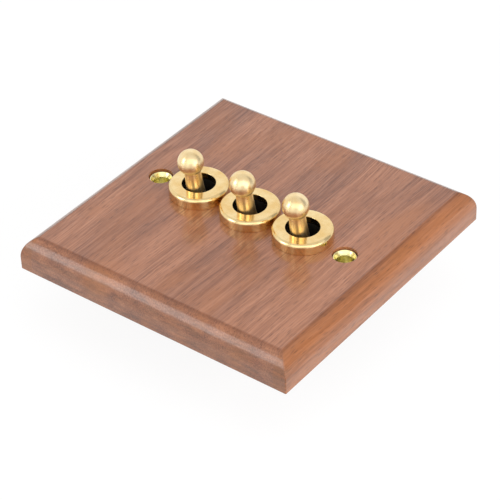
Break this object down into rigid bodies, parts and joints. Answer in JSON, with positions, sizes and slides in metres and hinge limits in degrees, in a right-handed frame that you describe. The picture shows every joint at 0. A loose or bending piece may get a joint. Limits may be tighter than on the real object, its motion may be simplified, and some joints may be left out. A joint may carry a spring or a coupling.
{
  "type": "dolly switch wall plate",
  "caption": "Square walnut wall plate with rounded edges and a row of brass dolly toggle switches held by ring nuts, with brass-lined holes for its fixing screws.",
  "frame": {"origin": "middle of the plate's back face, halfway between the two fixing screws", "axes": "+X along the row of switches and the line of the screws, +Y up the wall, +Z out of the plate's face"},
  "size_m": [0.086, 0.086, 0.043],
  "materials": {
    "walnut": "satin lacquer over fine open grain",
    "satin_brass": "fine brushed",
    "polished_brass": "polished",
    "black_nylon": "moulded",
    "black_phenolic": "moulded",
    "zinc_plated_steel": "zinc plated",
    "spring_steel": "bright drawn",
    "contact_copper": "rolled copper sheet",
    "contact_silver": "silver alloy",
    "terminal_brass": "stamped"
  },
  "bodies": {
    "wall_plate": {"walnut_plate": "walnut", "left_screw_eyelet": "polished_brass", "right_screw_eyelet": "polished_brass", "left_ring_nut": "satin_brass", "left_pivot_pin": "spring_steel", "left_bush_cover": "black_nylon", "left_saddle": "zinc_plated_steel", "left_switch_base": "black_phenolic", "left_fixed_tips": "contact_silver", "left_common_terminal": "terminal_brass", "left_upper_terminal": "terminal_brass", "left_lower_terminal": "terminal_brass", "left_terminal_washers": "zinc_plated_steel", "left_terminal_screws": "terminal_brass", "middle_ring_nut": "satin_brass", "middle_pivot_pin": "spring_steel", "middle_bush_cover": "black_nylon", "middle_saddle": "zinc_plated_steel", "middle_switch_base": "black_phenolic", "middle_fixed_tips": "contact_silver", "middle_common_terminal": "terminal_brass", "middle_upper_terminal": "terminal_brass", "middle_lower_terminal": "terminal_brass", "middle_terminal_washers": "zinc_plated_steel", "middle_terminal_screws": "terminal_brass", "right_ring_nut": "satin_brass", "right_pivot_pin": "spring_steel", "right_bush_cover": "black_nylon", "right_saddle": "zinc_plated_steel", "right_switch_base": "black_phenolic", "right_fixed_tips": "contact_silver", "right_common_terminal": "terminal_brass", "right_upper_terminal": "terminal_brass", "right_lower_terminal": "terminal_brass", "right_terminal_washers": "zinc_plated_steel", "right_terminal_screws": "terminal_brass"},
    "left_toggle": {"left_dolly": "satin_brass", "left_lever": "black_nylon", "left_toggle_spring": "spring_steel", "left_plunger": "spring_steel"},
    "left_rocker": {"left_rocker_contact": "contact_copper", "left_moving_tips": "contact_silver"},
    "middle_toggle": {"middle_dolly": "satin_brass", "middle_lever": "black_nylon", "middle_toggle_spring": "spring_steel", "middle_plunger": "spring_steel"},
    "middle_rocker": {"middle_rocker_contact": "contact_copper", "middle_moving_tips": "contact_silver"},
    "right_toggle": {"right_dolly": "satin_brass", "right_lever": "black_nylon", "right_toggle_spring": "spring_steel", "right_plunger": "spring_steel"},
    "right_rocker": {"right_rocker_contact": "contact_copper", "right_moving_tips": "contact_silver"}
  },
  "joints": [
    {"name": "left_dolly_hinge", "type": "hinge", "parent": "wall_plate", "child": "left_toggle", "pos_m": [-0.017, 0, 0.002], "axis": [-1, 0, 0], "range_deg": [0, 16.6]},
    {"name": "left_rocker_hinge", "type": "hinge", "parent": "wall_plate", "child": "left_rocker", "pos_m": [-0.017, 0, -0.0078], "axis": [1, 0, 0], "range_deg": [0, 12]},
    {"name": "middle_dolly_hinge", "type": "hinge", "parent": "wall_plate", "child": "middle_toggle", "pos_m": [0, 0, 0.002], "axis": [-1, 0, 0], "range_deg": [0, 16.6]},
    {"name": "middle_rocker_hinge", "type": "hinge", "parent": "wall_plate", "child": "middle_rocker", "pos_m": [0, 0, -0.0078], "axis": [1, 0, 0], "range_deg": [0, 12]},
    {"name": "right_dolly_hinge", "type": "hinge", "parent": "wall_plate", "child": "right_toggle", "pos_m": [0.017, 0, 0.002], "axis": [-1, 0, 0], "range_deg": [0, 16.6]},
    {"name": "right_rocker_hinge", "type": "hinge", "parent": "wall_plate", "child": "right_rocker", "pos_m": [0.017, 0, -0.0078], "axis": [1, 0, 0], "range_deg": [0, 12]}
  ],
  "couplings": [
    {"joint": "left_rocker_hinge", "follows": "left_dolly_hinge", "ratio": 0.72289},
    {"joint": "middle_rocker_hinge", "follows": "middle_dolly_hinge", "ratio": 0.72289},
    {"joint": "right_rocker_hinge", "follows": "right_dolly_hinge", "ratio": 0.72289}
  ]
}
